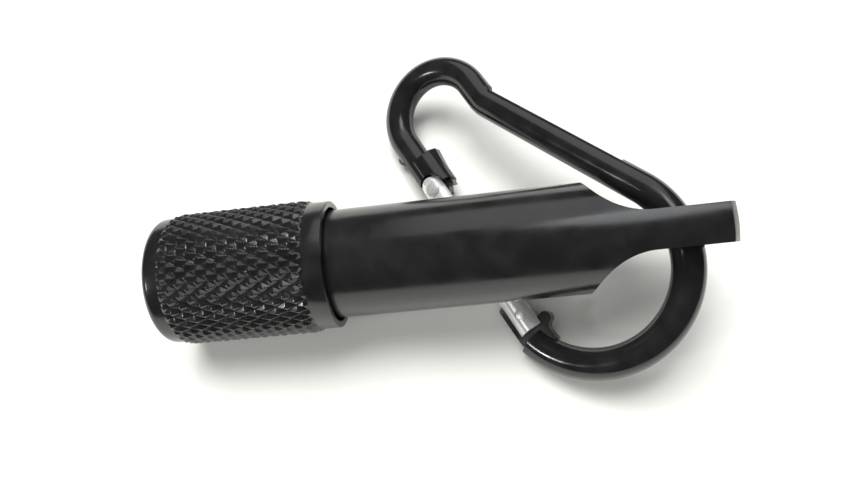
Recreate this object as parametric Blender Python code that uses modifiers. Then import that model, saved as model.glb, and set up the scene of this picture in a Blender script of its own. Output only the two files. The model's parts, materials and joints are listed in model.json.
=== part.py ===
"""Keychain flashlight with a snap ring through its tail: a small twist-head torch, in metres, +Z up.

The torch lies head to -X on the floor z = 0, held up behind by the ring that its tail hangs in.
Torch pieces are built along their own +Z, from the front rim (0) to the tail, under one empty.
Ring pieces are built in the ring's own plane: +X along the gate, +Y from the gate to the spine.
"""

import math

import bmesh
import bpy
from mathutils import Matrix, Vector

MM = 0.001

# The cells, four 7.9 x 3.6 button cells in a plastic tube, and their room in the barrel.
CELL_R = 3.95 * MM
CELL_T = 3.6 * MM
CELL_COUNT = 4
CELL_GAP = 0.06 * MM
STACK_START = 16.45 * MM
STACK_L = CELL_COUNT * (CELL_T + CELL_GAP)
TUBE_BORE_R = CELL_R + 0.1 * MM
TUBE_R = TUBE_BORE_R + 0.38 * MM
CHAMBER_R = TUBE_R + 0.12 * MM
TAIL_SPRING_ROOM = 3.21 * MM
CHAMBER_END = STACK_START + STACK_L + TAIL_SPRING_ROOM
SPRING_WIRE_R = 0.22 * MM

# The screwed neck, with plain cylinders where the thread is.
PITCH = 0.8 * MM
HEAD_TRAVEL = PITCH / 2
NECK_R = CHAMBER_R + 0.95 * MM
NECK_START = 12.0 * MM
SHOULDER = 18.0 * MM
THREAD_PLAY = 0.12 * MM
SEAL_SECTION_R = 0.35 * MM
SEAL_DEPTH = 0.45 * MM
SEAL_AT = 16.6 * MM

# The torch: radii and stations along its axis, counted from the front rim.
TORCH_L = 63.5 * MM
BODY_R = NECK_R + 0.75 * MM
COLLAR_BORE_R = BODY_R + 0.35 * MM
COLLAR_R = COLLAR_BORE_R + 0.73 * MM
COLLAR_END = 20.3 * MM
KNURL_R = COLLAR_R + 0.37 * MM
KNURL_END = 18.1 * MM
RIM_R = KNURL_R - 0.4 * MM
RIM_L = 2.0 * MM
LIP_T = 1.0 * MM
EDGE = 0.25 * MM

# The ring's rod, which runs loose in the tail's hole.
ROD_R = 1.875 * MM

# The tail: two milled flats leave a tongue, cross-drilled for the rod.
TONGUE_T = 4.2 * MM
MILL_R = 7.3 * MM
FLAT_START = TORCH_L - 8.3 * MM
TAIL_CHAMFER = 0.7 * MM
HOLE_AT = TORCH_L - 4.5 * MM
HOLE_R = ROD_R + 1.625 * MM

# The lamp that slides in the head.
LAMP_R = NECK_R + 0.55 * MM
LAMP_PLAY = 0.25 * MM
POCKET_R = LAMP_R + LAMP_PLAY
POCKET_END = 11.5 * MM
APERTURE_R = POCKET_R - 0.8 * MM
LENS_R = POCKET_R - LAMP_PLAY
LENS_T = 1.0 * MM
LENS_AT = 1.8 * MM
LED_R = 2.5 * MM
LED_FLANGE_R = 2.9 * MM
LED_TIP = 4.4 * MM
LEAD_X = 1.27 * MM
LEAD_R = 0.25 * MM
BOARD_AT = 13.2 * MM
BOARD_T = 0.8 * MM

# The ring, measured from the gate's line: its bends and where its pieces sit.
SMALL_BEND_R = 6.0 * MM
SMALL_BEND = (-9.1 * MM, SMALL_BEND_R)
KNEE_X = -5.8 * MM
KNEE_FILLET = 3.0 * MM
BIG_BEND_R = 11.0 * MM
BIG_BEND = (19.8 * MM, BIG_BEND_R - 1.2 * MM)
HOLD_X = 22.4 * MM
NOSE_X = 22.6 * MM
SPINE_FLAT = 1.6 * MM
SPINE_STEP_X = -6.8 * MM
BUMP_R = 0.78 * MM

# The end that carries the hinge: a thicker knuckle, flat along its outside from a small bump on.
PIVOT_X = -0.7 * MM
PIVOT_R = 0.6 * MM
BUMP_X = -7.65 * MM
KNUCKLE_R = ROD_R + 0.225 * MM
KNUCKLE_Y = 0.85 * MM
KNUCKLE_START = PIVOT_X - 4.6 * MM
OUTER_FLAT_Y = -1.3 * MM
PRONG_START = (PIVOT_X - 4.7 * MM, 3.2 * MM)
PRONG_END = (PIVOT_X + 0.9 * MM, 2.55 * MM)

GATE_R = 1.7 * MM
GATE_TIP = NOSE_X - 1.0 * MM
RIVET_HEAD_R = 1.05 * MM
RIVET_HEAD_T = 0.3 * MM
PIVOT_PLAY = 0.06 * MM
SLOT_T = 1.6 * MM
TONGUE_PLATE_T = 1.3 * MM
ARCH_R = GATE_R + 0.25 * MM
CAM_R = 1.5 * MM
CAM_LIFT = 0.3 * MM
GATE_OPEN = math.radians(28)
HINGE_SLOT_END = PIVOT_X + 3.4 * MM
LATCH_SLOT_START = NOSE_X - 6.0 * MM
LATCH_PIN_X = NOSE_X - 3.2 * MM
LATCH_PIN_R = 0.5 * MM
PLUNGER_R = 0.6 * MM
PLUNGER_GAP = 0.12 * MM
SPRING_BORE_R = 1.0 * MM
SPRING_BORE_END = PIVOT_X + 10.4 * MM
GATE_LINE_Z = 2.06 * MM

# How they lie: the tail is up and rolled over by the ring, whose gate points across the torch.
TAIL_UP = math.radians(5.0)
ROLL = math.radians(21.3)
GATE_HEADING = math.radians(-62.5)

ROUND_STEPS = 48
SMALL_STEPS = 24

BLACK = ("black_anodised", (0.03, 0.03, 0.032, 1.0), 1.0, 0.35)
SILVER = ("bare_aluminium", (0.8, 0.8, 0.8, 1.0), 1.0, 0.25)
STEEL = ("steel", (0.62, 0.62, 0.64, 1.0), 1.0, 0.3)
CLEAR = ("clear_plastic", (0.95, 0.95, 0.95, 1.0), 0.0, 0.05)
MIRROR = ("mirror_plastic", (0.9, 0.9, 0.9, 1.0), 1.0, 0.08)
RUBBER = ("black_rubber", (0.02, 0.02, 0.02, 1.0), 0.0, 0.7)
PLASTIC = ("white_plastic", (0.85, 0.85, 0.82, 1.0), 0.0, 0.5)
BOARD = ("green_board", (0.05, 0.25, 0.1, 1.0), 0.0, 0.5)
CHIP = ("dark_chip", (0.05, 0.05, 0.05, 1.0), 0.0, 0.4)


# ---------------------------------------------------------------- helpers

def clear_scene():
    for obj in list(bpy.data.objects):
        bpy.data.objects.remove(obj)


def new_collection(name, hidden=False):
    found = bpy.data.collections.new(name)
    bpy.context.scene.collection.children.link(found)
    found.hide_render = hidden
    return found


def material(look):
    name, colour, metallic, roughness = look
    found = bpy.data.materials.get(name)
    if found is None:
        found = bpy.data.materials.new(name)
        found.use_nodes = True
        shader = found.node_tree.nodes["Principled BSDF"]
        shader.inputs["Base Color"].default_value = colour
        shader.inputs["Metallic"].default_value = metallic
        shader.inputs["Roughness"].default_value = roughness
        found.diffuse_color = colour
    return found


def empty(name, parent=None, location=(0, 0, 0), rotation=None):
    obj = bpy.data.objects.new(name, None)
    obj.empty_display_size = 5 * MM
    parts.objects.link(obj)
    obj.parent = parent
    obj.location = location
    if rotation is not None:
        obj.rotation_euler = rotation.to_euler()
    return obj


def part(name, data, parent, look, location=(0, 0, 0), rotation=(0, 0, 0)):
    """One sub-part of its own material, placed under the empty that carries it."""
    obj = bpy.data.objects.new(name, data)
    parts.objects.link(obj)
    obj.parent = parent
    obj.location = location
    obj.rotation_euler = rotation
    data.materials.append(material(look))
    return obj


def cutter(name, data, parent, location=(0, 0, 0), rotation=(0, 0, 0)):
    obj = bpy.data.objects.new(name, data)
    cutters.objects.link(obj)
    obj.parent = parent
    obj.location = location
    obj.rotation_euler = rotation
    obj.hide_render = True
    obj.display_type = "WIRE"
    return obj


def boolean(obj, other, operation="DIFFERENCE"):
    modifier = obj.modifiers.new(operation.lower() + "_" + other.name, "BOOLEAN")
    modifier.operation = operation
    modifier.solver = "EXACT"
    modifier.object = other


def smooth(obj, angle=35):
    obj.data.set_sharp_from_angle(angle=math.radians(angle))
    for face in obj.data.polygons:
        face.use_smooth = True


def arc(centre, radius, start, end, steps):
    """Points round a centre, from one angle in degrees to another."""
    out = []
    for i in range(steps + 1):
        turn = math.radians(start + (end - start) * i / steps)
        out.append((centre[0] + radius * math.cos(turn), centre[1] + radius * math.sin(turn)))
    return out


def dome(centre, radius, steps):
    """The lower quarter of a ball's outline, from its pole on the axis out to its widest."""
    return [(0, centre[1] - radius)] + arc(centre, radius, -90, 0, steps)[1:]


def turned(name, outline, parent, look, steps=ROUND_STEPS, **place):
    """An outline of (radius, z), listed up its outer side, swept about Z into a part or a cutter.

    It closes on itself unless it starts on the axis, where it then ends too.
    """
    points = [(radius, 0, z) for radius, z in reversed(outline)]
    edges = [(i, i + 1) for i in range(len(points) - 1)]
    if outline[0][0] > 0:
        edges.append((len(points) - 1, 0))
    mesh = bpy.data.meshes.new(name)
    mesh.from_pydata(points, edges, [])
    obj = part(name, mesh, parent, look, **place) if look else cutter(name, mesh, parent, **place)
    screw = obj.modifiers.new("turn", "SCREW")
    screw.axis = "Z"
    screw.steps = screw.render_steps = steps
    screw.use_merge_vertices = True
    screw.merge_threshold = 0.001 * MM
    screw.use_smooth_shade = True
    return obj


def bar_mesh(name, radius, low, high, steps):
    """A plain round bar along Z."""
    mesh = bpy.data.meshes.new(name)
    bm = bmesh.new()
    bmesh.ops.create_cone(bm, cap_ends=True, segments=steps, radius1=radius, radius2=radius,
                          depth=high - low, matrix=Matrix.Translation((0, 0, (low + high) / 2)))
    bm.to_mesh(mesh)
    bm.free()
    return mesh


def ball_mesh(name, radius):
    mesh = bpy.data.meshes.new(name)
    bm = bmesh.new()
    bmesh.ops.create_uvsphere(bm, u_segments=16, v_segments=10, radius=radius)
    bm.to_mesh(mesh)
    bm.free()
    return mesh


def mesh_of_curve(data):
    """The curve's solid as a mesh with its caps welded on."""
    guide = bpy.data.objects.new(data.name, data)
    bpy.context.scene.collection.objects.link(guide)
    graph = bpy.context.evaluated_depsgraph_get()
    mesh = bpy.data.meshes.new_from_object(guide.evaluated_get(graph))
    bpy.data.objects.remove(guide)
    mesh.materials.clear()
    bm = bmesh.new()
    bm.from_mesh(mesh)
    bmesh.ops.remove_doubles(bm, verts=bm.verts, dist=0.0001 * MM)
    bmesh.ops.recalc_face_normals(bm, faces=bm.faces)
    bm.to_mesh(mesh)
    bm.free()
    return mesh


def plate_mesh(name, outline, low, high):
    """A flat outline of (x, y) made solid from z low to z high."""
    data = bpy.data.curves.new(name, "CURVE")
    data.dimensions = "2D"
    data.fill_mode = "BOTH"
    data.extrude = (high - low) / 2
    spline = data.splines.new("POLY")
    spline.points.add(len(outline) - 1)
    for point, (x, y) in zip(spline.points, outline):
        point.co = (x, y, 0, 1)
    spline.use_cyclic_u = True
    mesh = mesh_of_curve(data)
    mesh.transform(Matrix.Translation((0, 0, (low + high) / 2)))
    return mesh


def rod_mesh(name, points, radius, resolution=3):
    """A round bar along the points, as a mesh with closed ends."""
    data = bpy.data.curves.new(name, "CURVE")
    data.dimensions = "3D"
    data.bevel_depth = radius
    data.bevel_resolution = resolution
    data.use_fill_caps = True
    spline = data.splines.new("POLY")
    spline.points.add(len(points) - 1)
    for point, place in zip(spline.points, points):
        point.co = (*place, 1)
    return mesh_of_curve(data)


def coil(radius_start, radius_end, low, high, turns, steps=12):
    """Points of a helical spring along Z, with its end turns laid flat."""
    total = int(turns * steps)
    out = []
    for i in range(total + 1):
        t = i / total
        rise = min(max((t * turns - 0.6) / (turns - 1.2), 0.0), 1.0)
        radius = radius_start + (radius_end - radius_start) * t
        turn = 2 * math.pi * turns * t
        out.append((radius * math.cos(turn), radius * math.sin(turn), low + (high - low) * rise))
    return out


# ---------------------------------------------------------------- torch

def make_barrel(torch):
    seal_floor = NECK_R - SEAL_DEPTH
    obj = turned("barrel", [
        (0, CHAMBER_END + 0.6 * MM),
        (CHAMBER_R, CHAMBER_END),
        (CHAMBER_R, NECK_START),
        (NECK_R - EDGE, NECK_START),
        (NECK_R, NECK_START + EDGE),
        (NECK_R, SEAL_AT - 0.5 * MM),
        (seal_floor, SEAL_AT - 0.5 * MM),
        (seal_floor, SEAL_AT + 0.5 * MM),
        (NECK_R, SEAL_AT + 0.5 * MM),
        (NECK_R, SHOULDER),
        (BODY_R - EDGE, SHOULDER),
        (BODY_R, SHOULDER + EDGE),
        (BODY_R, TORCH_L - TAIL_CHAMFER),
        (BODY_R - TAIL_CHAMFER, TORCH_L),
        (0, TORCH_L),
    ], torch, BLACK)
    for side in (1, -1):
        boolean(obj, mill_cutter(torch, side))
    hole = cutter("hole_cut", bar_mesh("hole_cut", HOLE_R, -BODY_R, BODY_R, 40), torch,
                  location=(0, 0, HOLE_AT), rotation=(math.pi / 2, 0, 0))
    boolean(obj, hole)
    return obj


def mill_cutter(torch, side):
    """What the end mill takes off one side: a round-cornered slab that leaves half the tongue."""
    half = TONGUE_T / 2
    outside = BODY_R + 2 * MM
    rise = outside - half
    sweep = math.degrees(math.acos(1 - rise / MILL_R)) if rise < MILL_R else 90.0
    round_off = arc((half + MILL_R, FLAT_START), MILL_R, 180, 180 + sweep, 20)
    outline = [(half, TORCH_L + 2 * MM)] + round_off
    outline += [(outside, round_off[-1][1]), (outside, TORCH_L + 2 * MM)]
    mesh = plate_mesh("mill_cut", [(side * y, z) for y, z in outline], -8 * MM, 8 * MM)
    name = "mill_cut_left" if side > 0 else "mill_cut_right"
    # The outline's x, y become the torch's Y and Z.
    mesh.transform(Matrix(((0, 0, 1, 0), (1, 0, 0, 0), (0, 1, 0, 0), (0, 0, 0, 1))))
    return cutter(name, mesh, torch)


def make_head_sleeve(head):
    thread_bore = NECK_R + THREAD_PLAY
    seal_bore = NECK_R + 0.35 * MM
    rim_round = arc((RIM_R - 0.9 * MM, 0.9 * MM), 0.9 * MM, -90, 0, 6)
    turned("head_sleeve", [
        (APERTURE_R, 0.25 * MM),
        (APERTURE_R + 0.25 * MM, 0),
        *rim_round,
        (RIM_R, RIM_L - 0.1 * MM),
        (KNURL_R - 0.1 * MM, RIM_L),
        (KNURL_R, RIM_L + 0.1 * MM),
        (KNURL_R, KNURL_END - 0.15 * MM),
        (COLLAR_R, KNURL_END + 0.15 * MM),
        (COLLAR_R, COLLAR_END - 0.2 * MM),
        (COLLAR_R - 0.2 * MM, COLLAR_END),
        (COLLAR_BORE_R + 0.1 * MM, COLLAR_END),
        (COLLAR_BORE_R, COLLAR_END - 0.1 * MM),
        (COLLAR_BORE_R, SHOULDER - HEAD_TRAVEL - 0.3 * MM),
        (seal_bore, SHOULDER - HEAD_TRAVEL - 0.3 * MM),
        (seal_bore, SEAL_AT - 1.1 * MM),
        (thread_bore, SEAL_AT - 1.3 * MM),
        (thread_bore, POCKET_END),
        (POCKET_R, POCKET_END),
        (POCKET_R, LIP_T),
        (APERTURE_R, LIP_T),
    ], head, BLACK)


def make_front(head):
    turned("front_lens", [
        (0, LENS_AT), (LENS_R - 0.15 * MM, LENS_AT), (LENS_R, LENS_AT + 0.15 * MM),
        (LENS_R, LENS_AT + LENS_T), (0, LENS_AT + LENS_T),
    ], head, CLEAR)
    ring = arc((POCKET_R - 0.45 * MM, LIP_T + 0.4 * MM), 0.35 * MM, 0, 330, 11)
    turned("lens_seal", ring, head, RUBBER, steps=36)


def make_lamp(lamp):
    """The drop-in lamp: a reflector, a 5 mm LED in its holder, and a board with a contact spring."""
    front = LENS_AT + LENS_T + 0.12 * MM
    back = 7.3 * MM
    inner = [(2.85 * MM, back), (3.7 * MM, 6.2 * MM), (4.6 * MM, 4.8 * MM), (5.3 * MM, 3.4 * MM)]
    turned("reflector", [
        *inner,
        (5.5 * MM, front),
        (LAMP_R, front),
        (LAMP_R, front + 0.6 * MM),
        (5.75 * MM, front + 0.6 * MM),
        (5.0 * MM, 5.1 * MM),
        (4.1 * MM, 6.6 * MM),
        (3.5 * MM, back),
    ], lamp, MIRROR)

    turned("led", [
        *dome((0, LED_TIP + LED_R), LED_R, 7),
        (LED_R, 10.5 * MM),
        (LED_FLANGE_R, 10.5 * MM),
        (LED_FLANGE_R, 11.4 * MM),
        (0, 11.4 * MM),
    ], lamp, CLEAR, steps=SMALL_STEPS)

    turned("led_holder", [
        (LED_R + 0.12 * MM, 7.6 * MM),
        (LAMP_R, 7.6 * MM),
        (LAMP_R, 11.0 * MM),
        (CHAMBER_R - 0.25 * MM, 11.3 * MM),
        (CHAMBER_R - 0.25 * MM, 15.2 * MM),
        (3.4 * MM, 15.2 * MM),
        (3.4 * MM, 11.9 * MM),
        (LED_FLANGE_R + 0.12 * MM, 11.7 * MM),
        (LED_FLANGE_R + 0.12 * MM, 10.4 * MM),
        (LED_R + 0.12 * MM, 10.4 * MM),
    ], lamp, PLASTIC, steps=36)

    turned("contact_board", [
        (0, BOARD_AT), (3.25 * MM, BOARD_AT),
        (3.25 * MM, BOARD_AT + BOARD_T), (0, BOARD_AT + BOARD_T),
    ], lamp, BOARD, steps=SMALL_STEPS)
    for name, side in (("led_lead_plus", 1), ("led_lead_minus", -1)):
        wire = bar_mesh(name, LEAD_R, 11.45 * MM, BOARD_AT - 0.05 * MM, 10)
        part(name, wire, lamp, STEEL, location=(side * LEAD_X, 0, 0))
    chip = [(-0.8 * MM, 1.1 * MM), (0.8 * MM, 1.1 * MM), (0.8 * MM, 1.9 * MM), (-0.8 * MM, 1.9 * MM)]
    top = BOARD_AT - 0.05 * MM
    part("resistor", plate_mesh("resistor", chip, top - 0.5 * MM, top), lamp, CHIP)

    wire = coil(1.7 * MM, 1.7 * MM, BOARD_AT + BOARD_T + SPRING_WIRE_R + 0.03 * MM,
                15.92 * MM - SPRING_WIRE_R, 3.5)
    smooth(part("contact_spring", rod_mesh("contact_spring", wire, SPRING_WIRE_R, 1), lamp, STEEL))


def make_cells(torch):
    seal = arc((NECK_R - SEAL_DEPTH + SEAL_SECTION_R + 0.02 * MM, SEAL_AT), SEAL_SECTION_R, 0, 330, 11)
    turned("neck_seal", seal, torch, RUBBER)
    low = STACK_START - 0.2 * MM
    high = STACK_START + STACK_L + 0.1 * MM
    turned("cell_tube", [
        (TUBE_BORE_R, low), (TUBE_R, low), (TUBE_R, high), (TUBE_BORE_R, high),
    ], torch, PLASTIC, steps=36)
    for i in range(CELL_COUNT):
        z = STACK_START + i * (CELL_T + CELL_GAP)
        turned("cell_%d" % (i + 1), [
            (0, z),
            (CELL_R - 0.3 * MM, z),
            (CELL_R, z + 0.3 * MM),
            (CELL_R, z + CELL_T - 0.55 * MM),
            (CELL_R - 0.35 * MM, z + CELL_T - 0.35 * MM),
            (CELL_R - 0.6 * MM, z + CELL_T - 0.35 * MM),
            (CELL_R - 0.75 * MM, z + CELL_T),
            (0, z + CELL_T),
        ], torch, STEEL, steps=32)
    wire = coil(2.0 * MM, TUBE_BORE_R - 0.15 * MM, STACK_START + STACK_L + 0.05 * MM + SPRING_WIRE_R,
                CHAMBER_END - 0.05 * MM - SPRING_WIRE_R, 3.5)
    smooth(part("tail_spring", rod_mesh("tail_spring", wire, SPRING_WIRE_R, 1), torch, STEEL))


# ---------------------------------------------------------------- ring

def tangent_point(start, centre, radius):
    """Where a line from the start touches a circle, on the side of larger Y."""
    dx, dy = centre[0] - start[0], centre[1] - start[1]
    reach = math.hypot(dx, dy)
    base = math.atan2(dy, dx)
    off = math.asin(radius / reach)
    length = math.sqrt(reach * reach - radius * radius)
    return (start[0] + length * math.cos(base + off), start[1] + length * math.sin(base + off)), base + off


def ring_outline():
    """The rod's centre line, from the gate's hinge round the small bend, spine and big bend to the nose."""
    knee = (KNEE_X, SMALL_BEND[1] + SMALL_BEND_R)
    touch, heading = tangent_point(knee, BIG_BEND, BIG_BEND_R)
    cut = KNEE_FILLET * math.tan(heading / 2)
    points = [(PIVOT_X - 0.4 * MM, 0.0), (-4.5 * MM, 0.0)]
    points += arc(SMALL_BEND, SMALL_BEND_R, 270, 90, 22)
    points += arc((knee[0] - cut, knee[1] + KNEE_FILLET), KNEE_FILLET, 270, 270 + math.degrees(heading), 5)
    start = math.degrees(math.atan2(touch[1] - BIG_BEND[1], touch[0] - BIG_BEND[0]))
    low = NOSE_X - BIG_BEND[0]
    end = -math.degrees(math.acos(low / BIG_BEND_R))
    points += arc(BIG_BEND, BIG_BEND_R, start, end, 34)
    return points, heading


def hinge_plate():
    """The flat tongue that the gate's slot straddles: a cam, growing as the gate opens."""
    cam = []
    for i in range(24):
        turn = math.radians(-60 + 134 * i / 23)
        lift = CAM_LIFT * min(max(turn / GATE_OPEN, 0.0), 1.6)
        cam.append((PIVOT_X + (CAM_R + lift) * math.cos(turn), (CAM_R + lift) * math.sin(turn)))
    outside = OUTER_FLAT_Y + 0.05 * MM
    back = PRONG_START[0] - 0.5 * MM
    out = [(back, PRONG_START[1] - 1.0 * MM), (back, outside), (PIVOT_X - ROD_R, outside)]
    return out + cam + [PRONG_END, PRONG_START]


def nose_plate():
    """The flat nose: a lip outside the gate, a notch for the gate's pin and a knob inside."""
    x = NOSE_X
    out = [(x + 1.6 * MM, 2.0 * MM), (x - 0.1 * MM, 1.9 * MM)]
    out += arc((x - 1.3 * MM, 2.15 * MM), BUMP_R, 10, 215, 8)
    out += [(x - 2.1 * MM, 0.4 * MM), (x - 2.4 * MM, -0.6 * MM), (x - 3.0 * MM, -1.1 * MM)]
    out += arc((x - 4.9 * MM, -1.65 * MM), 0.55 * MM, 90, 270, 6)
    out += [(x - 0.2 * MM, -2.1 * MM), (x + 1.0 * MM, -1.5 * MM)]
    return out


def make_frame(plane):
    """The bent rod, flattened to a plate at each end, with a flat milled along its spine."""
    points, heading = ring_outline()
    mesh = rod_mesh("ring_frame", [(x, y, 0) for x, y in points], ROD_R, 4)
    obj = part("ring_frame", mesh, plane, BLACK)
    half = TONGUE_PLATE_T / 2
    for name, outline in (("hinge_plate", hinge_plate()), ("nose_plate", nose_plate())):
        boolean(obj, cutter(name, plate_mesh(name, outline, -half, half), plane), "UNION")
    knuckle = cutter("knuckle", bar_mesh("knuckle", KNUCKLE_R, KNUCKLE_START, PIVOT_X, 28), plane,
                     location=(0, KNUCKLE_Y, 0), rotation=(0, math.pi / 2, 0))
    boolean(obj, knuckle, "UNION")
    bump = cutter("bump", ball_mesh("bump", BUMP_R), plane, location=(BUMP_X, -1.5 * MM, 0))
    boolean(obj, bump, "UNION")
    flat_start = BUMP_X + BUMP_R
    outside = [(flat_start, -4 * MM), (PIVOT_X, -4 * MM), (PIVOT_X, OUTER_FLAT_Y), (flat_start, OUTER_FLAT_Y)]
    boolean(obj, cutter("outer_cut", plate_mesh("outer_cut", outside, -4 * MM, 4 * MM), plane))
    # Above and below the plates the rod is cut away, to a round shoulder at the hinge.
    arch = arc((PIVOT_X, 0), ARCH_R, 90, 270, 16)
    arch += [(PIVOT_X, -4 * MM), (6 * MM, -4 * MM), (6 * MM, 4 * MM), (PIVOT_X, 4 * MM)]
    shoulder = NOSE_X - 0.65 * MM
    nose = [(14 * MM, -4 * MM), (shoulder, -4 * MM), (shoulder, 4 * MM), (14 * MM, 4 * MM)]
    for name, outline in (("arch_cut", arch), ("nose_cut", nose)):
        for side in (1, -1):
            low, high = sorted((side * half, side * 4 * MM))
            label = "%s_%s" % (name, "above" if side > 0 else "below")
            boolean(obj, cutter(label, plate_mesh(label, outline, low, high), plane))
    # One flat along the outside of the spine, starting at a step by the small bend.
    along = Vector((math.cos(heading), math.sin(heading)))
    across = Vector((-along.y, along.x))
    knee = Vector((KNEE_X, SMALL_BEND[1] + SMALL_BEND_R))
    back = (SPINE_STEP_X - knee.x - across.x * SPINE_FLAT) / along.x
    flat = []
    for reach, off in ((back, SPINE_FLAT), (20 * MM, SPINE_FLAT), (20 * MM, 5 * MM), (back, 5 * MM)):
        spot = knee + along * reach + across * off
        flat.append((spot.x, spot.y))
    flat[3] = (flat[0][0] - 0.4 * MM, flat[0][1] + 4 * MM)
    boolean(obj, cutter("spine_cut", plate_mesh("spine_cut", flat, -4 * MM, 4 * MM), plane))
    pivot = cutter("pivot_cut", bar_mesh("pivot_cut", PIVOT_R + PIVOT_PLAY, -3 * MM, 3 * MM, 20), plane,
                   location=(PIVOT_X, 0, 0))
    boolean(obj, pivot)
    smooth(obj)
    return obj


def make_gate(hinge):
    """The round gate about its rivet: slotted at both ends, bored for the spring behind the hinge."""
    tip = GATE_TIP - PIVOT_X
    outline = arc((0, 0), GATE_R, 90, 270, 12)
    outline += [(tip - 0.2 * MM, -GATE_R), (tip, -GATE_R + 0.2 * MM)]
    outline += [(tip, GATE_R - 0.2 * MM), (tip - 0.2 * MM, GATE_R)]
    mesh = bar_mesh("gate", GATE_R, -GATE_R - 0.5 * MM, tip, 28)
    mesh.transform(Matrix.Rotation(math.pi / 2, 4, "Y"))
    gate = part("gate", mesh, hinge, SILVER)
    boolean(gate, cutter("gate_plan", plate_mesh("gate_plan", outline, -3 * MM, 3 * MM), hinge), "INTERSECT")
    half = SLOT_T / 2
    slots = (
        ("hinge_slot", -3 * MM, HINGE_SLOT_END - PIVOT_X),
        ("latch_slot", LATCH_SLOT_START - PIVOT_X, tip + 1 * MM),
    )
    for name, start, end in slots:
        box = [(start, -3 * MM), (end, -3 * MM), (end, 3 * MM), (start, 3 * MM)]
        boolean(gate, cutter(name, plate_mesh(name, box, -half, half), hinge))
    for name, x, radius in (
        ("rivet_cut", 0.0, PIVOT_R + PIVOT_PLAY),
        ("latch_cut", LATCH_PIN_X - PIVOT_X, LATCH_PIN_R + 0.02 * MM),
    ):
        hole = cutter(name, bar_mesh(name, radius, -3 * MM, 3 * MM, 20), hinge, location=(x, 0, 0))
        boolean(gate, hole)
    bore_mesh = bar_mesh("spring_cut", SPRING_BORE_R, 2.6 * MM, SPRING_BORE_END - PIVOT_X, 20)
    bore = cutter("spring_cut", bore_mesh, hinge, rotation=(0, math.pi / 2, 0))
    boolean(gate, bore)
    smooth(gate)
    return gate


def make_rivet(plane):
    """The hinge rivet, held in the frame's plate, with a low head over each cheek of the gate."""
    head = GATE_R + 0.05 * MM
    shank = PIVOT_R
    turned("gate_rivet", [
        (0, -head - RIVET_HEAD_T),
        (RIVET_HEAD_R - 0.2 * MM, -head - RIVET_HEAD_T),
        (RIVET_HEAD_R, -head),
        (shank, -head),
        (shank, head),
        (RIVET_HEAD_R, head),
        (RIVET_HEAD_R - 0.2 * MM, head + RIVET_HEAD_T),
        (0, head + RIVET_HEAD_T),
    ], plane, STEEL, steps=24, location=(PIVOT_X, 0, 0))


def make_latch_pin(hinge):
    reach = math.sqrt(GATE_R ** 2 - LATCH_PIN_R ** 2) - 0.05 * MM
    part("latch_pin", bar_mesh("latch_pin", LATCH_PIN_R, -reach, reach, 16), hinge, STEEL,
         location=(LATCH_PIN_X - PIVOT_X, 0, 0))


def make_plunger(slide):
    """The plunger that the spring holds against the cam, and the spring behind it, along the gate."""
    nose = CAM_R + PLUNGER_GAP
    collar = HINGE_SLOT_END - PIVOT_X + 0.5 * MM
    turned("gate_plunger", [
        *dome((0, nose + PLUNGER_R), PLUNGER_R, 5),
        (PLUNGER_R, collar),
        (SPRING_BORE_R - 0.08 * MM, collar),
        (SPRING_BORE_R - 0.08 * MM, collar + 0.7 * MM),
        (0.35 * MM, collar + 0.7 * MM),
        (0.35 * MM, collar + 2.4 * MM),
        (0, collar + 2.4 * MM),
    ], slide, STEEL, steps=24, rotation=(0, math.pi / 2, 0))
    wire_r = 0.15 * MM
    low = collar + 0.7 * MM + wire_r + PLUNGER_GAP
    high = SPRING_BORE_END - PIVOT_X - wire_r - 0.05 * MM
    wire = coil(0.72 * MM, 0.72 * MM, low, high, 7)
    spring = part("gate_spring", rod_mesh("gate_spring", wire, wire_r, 1), slide.parent, STEEL)
    spring.rotation_euler = (0, math.pi / 2, 0)
    smooth(spring)


# ---------------------------------------------------------------- placing

def torch_turn():
    """Own +Z along the floor's +X, then rolled about it, then the tail raised."""
    level = Matrix.Rotation(math.pi / 2, 3, "Y")
    roll = Matrix.Rotation(ROLL, 3, "X")
    return Matrix.Rotation(-TAIL_UP, 3, "Y") @ roll @ level


def ring_turn(hole_height):
    """The gate lies level on the floor, and the plane rises from it to the hole."""
    tilt = math.asin((hole_height - GATE_LINE_Z) / hold_point()[1])
    return Matrix.Rotation(GATE_HEADING, 3, "Z") @ Matrix.Rotation(tilt, 3, "X")


def hold_point():
    """The point of the rod's centre line that sits in the torch's hole."""
    off = HOLD_X - BIG_BEND[0]
    return Vector((HOLD_X, BIG_BEND[1] + math.sqrt(BIG_BEND_R ** 2 - off ** 2), 0))


def centre_on_floor(roots):
    """Moves everything so that the box of all the parts stands centred on the origin."""
    bpy.context.view_layer.update()
    graph = bpy.context.evaluated_depsgraph_get()
    low, high = Vector((1, 1, 1)), Vector((-1, -1, -1))
    for obj in parts.objects:
        if obj.type != "MESH":
            continue
        done = obj.evaluated_get(graph)
        for vertex in done.data.vertices:
            spot = done.matrix_world @ vertex.co
            low = Vector(map(min, low, spot))
            high = Vector(map(max, high, spot))
    shift = Vector(((low.x + high.x) / 2, (low.y + high.y) / 2, low.z))
    for root in roots:
        root.location -= shift


clear_scene()
parts = new_collection("keychain_flashlight")
cutters = new_collection("cutters", hidden=True)

turn = torch_turn()
front_height = KNURL_R * math.cos(TAIL_UP) - RIM_L * math.sin(TAIL_UP)
hole_height = front_height + HOLE_AT * math.sin(TAIL_UP)
front = Vector((0, 0, front_height))
torch = empty("torch_axis", location=front, rotation=turn)
head = empty("head_axis", torch)
lamp = empty("lamp_axis", torch)
make_barrel(torch)
make_cells(torch)
make_lamp(lamp)
make_head_sleeve(head)
make_front(head)

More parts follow.
